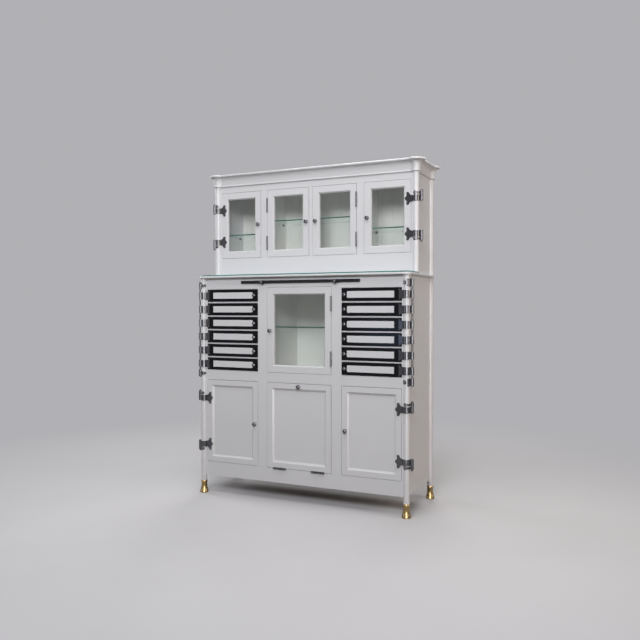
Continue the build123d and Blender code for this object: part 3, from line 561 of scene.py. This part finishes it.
def screw_head(shape, at, turn, radius):
    """Slotted raised head that faces the front, with its slot at an angle."""
    rise = HEAD_RISE * radius
    half_slot = HALF_SLOT * radius
    head = bmesh.new()
    bmesh.ops.create_cone(head, cap_ends=True, segments=20, radius1=radius, radius2=HEAD_TOP * radius,
                          depth=rise)
    for side in (-1, 1):
        bmesh.ops.bisect_plane(head, geom=head.verts[:] + head.edges[:] + head.faces[:],
                               plane_co=(side * half_slot, 0, 0), plane_no=(1, 0, 0))
    slot_faces = [f for f in head.faces if f.normal.z > LEVEL and abs(f.calc_center_median().x) < half_slot]
    cut = bmesh.ops.extrude_face_region(head, geom=slot_faces)
    floor = [g for g in cut["geom"] if isinstance(g, bmesh.types.BMVert)]
    bmesh.ops.delete(head, geom=slot_faces, context="FACES_ONLY")
    bmesh.ops.translate(head, vec=(0, 0, -SLOT_DEPTH * rise), verts=floor)
    stand = standing(Vector(at) - Vector((0, rise / 2 - HEAD_SUNK, 0))) @ Matrix.Rotation(turn, 4, "Z")
    bmesh.ops.transform(head, matrix=stand, verts=head.verts)
    carrier = bpy.data.meshes.new("screw")
    head.to_mesh(carrier)
    head.free()
    shape.from_mesh(carrier)
    bpy.data.meshes.remove(carrier)


def screw_set(name, body, places, radius):
    """All screws of one body as one piece."""
    shape = bmesh.new()
    for count, at in enumerate(places):
        screw_head(shape, at, radians(FIRST_TURN + NEXT_TURN * count), radius)
    finish(shape, name, DARK_CHROME, body)


def add_screws():
    """Screws in the strap leaves of the outer doors and of the trays."""
    doors = (("upper_door_1", -1, UPPER_EDGE, UPPER_Y, UPPER_STRAP_Z),
             ("upper_door_4", 1, UPPER_EDGE, UPPER_Y, UPPER_STRAP_Z),
             ("lower_left_door", -1, COLUMN_EDGE, FRONT_Y, LOWER_STRAP_Z),
             ("lower_right_door", 1, COLUMN_EDGE, FRONT_Y, LOWER_STRAP_Z))
    for body, side, edge, plane, heights in doors:
        face = plane - DOOR_PROUD - STRAP_T
        spots = [(side * (edge + LEAF_START + x), face, z + dz) for z in heights for x, dz in LEAF_SCREWS]
        screw_set(f"{body}_strap_screws", body, spots, DOOR_SCREW_R)
    for node, side, middle_z in trays():
        x = side * (COLUMN_EDGE - TRAY_SCREW_IN)
        spots = [(x, TRAY_FRONT_Y - STRAP_T, middle_z + rise) for rise in TRAY_SCREW_RISES]
        screw_set(f"{node}_strap_screws", BODY_OF[node], spots, TRAY_SCREW_R)


# ---------------------------------------------------------------- studio
PALE = (0.44, 0.435, 0.455, 1)                   # background
WARM_BOUNCE = (0.15, 0.12, 0.10, 1)              # what the floor throws back at the cabinet
FAR_BOUNCE = (0.075, 0.065, 0.056, 1)            # the same, from where the floor has faded
FLOOR_PALE = (0.60, 0.59, 0.605, 1)
FLOOR_PALER = (0.64, 0.63, 0.645, 1)
LEVEL_SKY = (0.97, 0.98, 1.0, 1)
FLOOR_RADIUS = 30.0
FLOOR_FADE = (0.9, 2.8)                          # from the middle: all floor, all background


def looked_at(tree):
    """1 for the eye, mirrors and glass, 0 for the light that one surface throws on another."""
    rays = lay(tree, "LightPath").outputs
    seen = reckon(tree, "MAXIMUM", rays["Is Camera Ray"], rays["Is Glossy Ray"])
    return reckon(tree, "MAXIMUM", seen, rays["Is Transmission Ray"])


def floor_paint():
    """Pale matt floor that fades into the background with its distance from the cabinet."""
    material, tree, shader, output = new_material("pale_floor")
    at = lay(tree, "TexCoord").outputs["Object"]
    pale = blend(tree, noise(tree, at, scale=3.0, detail=4.0), FLOOR_PALE, FLOOR_PALER)
    seen = looked_at(tree)
    join(tree, blend(tree, seen, WARM_BOUNCE, pale), shader.inputs["Base Color"])
    shader.inputs["Specular IOR Level"].default_value = 0.0
    away = lay(tree, "VectorMath", {"operation": "LENGTH"})
    join(tree, at, away.inputs[0])
    far = lay(tree, "MapRange", {"interpolation_type": "SMOOTHSTEP"}, Value=away.outputs["Value"],
              From_Min=FLOOR_FADE[0], From_Max=FLOOR_FADE[1]).outputs[0]
    glow = lay(tree, "Emission", Color=blend(tree, seen, FAR_BOUNCE, PALE), Strength=1.0)
    join(tree, choose(tree, far, shader, glow), output.inputs["Surface"])
    return material


def make_floor():
    """Round floor under the cabinet."""
    shape = bmesh.new()
    bmesh.ops.create_circle(shape, cap_ends=True, segments=64, radius=FLOOR_RADIUS)
    mesh = bpy.data.meshes.new("floor")
    shape.to_mesh(mesh)
    shape.free()
    mesh.materials.append(floor_paint())
    floor = bpy.data.objects.new("floor", mesh)
    bpy.context.scene.collection.objects.link(floor)


def make_world(ambient):
    """Pale background for the eye, mirrors and glass; a level sky for everything else."""
    world = bpy.data.worlds.new("studio")
    bpy.context.scene.world = world
    world.use_nodes = True
    tree = world.node_tree
    tree.nodes.clear()
    sky = lay(tree, "Background", Color=LEVEL_SKY, Strength=ambient)
    pale = lay(tree, "Background", Color=PALE, Strength=1.0)
    lay(tree, "OutputWorld", Surface=choose(tree, looked_at(tree), sky, pale))


def lamp(name, at, aim, size, power, colour, only_mirrored=False):
    """Soft panel of light; one that is only mirrored shows in metal and gloss alone."""
    data = bpy.data.lights.new(name, "AREA")
    data.shape = "RECTANGLE"
    data.size, data.size_y = size
    data.energy = power
    data.color = colour
    light = bpy.data.objects.new(name, data)
    light.location = at
    light.rotation_euler = (Vector(aim) - Vector(at)).to_track_quat("-Z", "Y").to_euler()
    light.visible_camera = False
    light.visible_transmission = False
    light.visible_diffuse = not only_mirrored
    bpy.context.scene.collection.objects.link(light)


def light_studio():
    """Key and top light, fills all round, and what the metal and the gloss mirror."""
    lamp("key", at=(1.1, -3.8, 2.8), aim=(0, 0, 0.9), size=(1.8, 1.2), power=104.0,
         colour=(0.98, 0.985, 1.0))
    lamp("top", at=(0.3, -1.5, 3.9), aim=(0, 0, 0.4), size=(2.4, 1.6), power=46.0,
         colour=(0.98, 0.99, 1.0))
    lamp("left_fill", at=(-3.0, -3.0, 1.45), aim=(0, 0, 1.2), size=(0.3, 2.1), power=11.0,
         colour=(0.90, 0.95, 1.0))
    lamp("right_fill", at=(3.8, -0.3, 1.6), aim=(0, 0, 0.9), size=(1.2, 2.0), power=44.0,
         colour=(1.0, 0.89, 0.79))
    lamp("rear_fill", at=(-0.9, 4.0, 3.0), aim=(0, 0, 0.8), size=(2.6, 1.6), power=92.0,
         colour=(1.0, 0.99, 0.97))
    lamp("far_left_fill", at=(-3.8, 0.6, 1.7), aim=(0, 0, 0.9), size=(1.2, 2.0), power=40.0,
         colour=(0.98, 0.99, 1.0))
    lamp("blue_window", at=(-0.72, -3.3, 0.70), aim=(0.3, -0.2, 0.8), size=(0.28, 0.25), power=0.35,
         colour=(0.35, 0.62, 1.0))
    lamp("white_card", at=(1.9, -3.9, 1.15), aim=(0, 0, 1.15), size=(2.8, 2.1), power=98.0,
         colour=(1.0, 0.99, 0.97), only_mirrored=True)
    lamp("floor_card", at=(1.45, -2.4, 0.012), aim=(1.45, -2.4, 1), size=(2.1, 2.2), power=42.0,
         colour=(1.0, 0.98, 0.95), only_mirrored=True)


CAMERA_AT = (1.5279, -3.19455, 0.9230)
CAMERA_DIP = 0.8636                              # degrees below level
CAMERA_TURN = 25.166                             # degrees, from square on towards the cabinet's right
SENSOR_WIDTH = 36.0                              # millimetres, as is the focal length
FOCAL_LENGTH = 40.24


def make_camera():
    """The photograph's viewpoint."""
    data = bpy.data.cameras.new("camera")
    data.sensor_width = SENSOR_WIDTH
    data.lens = FOCAL_LENGTH
    camera = bpy.data.objects.new("camera", data)
    camera.location = CAMERA_AT
    camera.rotation_euler = (radians(90 - CAMERA_DIP), 0, radians(CAMERA_TURN))
    bpy.context.scene.collection.objects.link(camera)
    bpy.context.scene.camera = camera


# ---------------------------------------------------------------- the cabinet in its studio
dress_all()
for tray_node, tray_side, tray_middle in trays():
    label_plate(tray_node, tray_side, tray_middle)
add_screws()

make_floor()
make_world(ambient=0.07)
light_studio()
make_camera()
bpy.context.scene.view_settings.view_transform = "Standard"
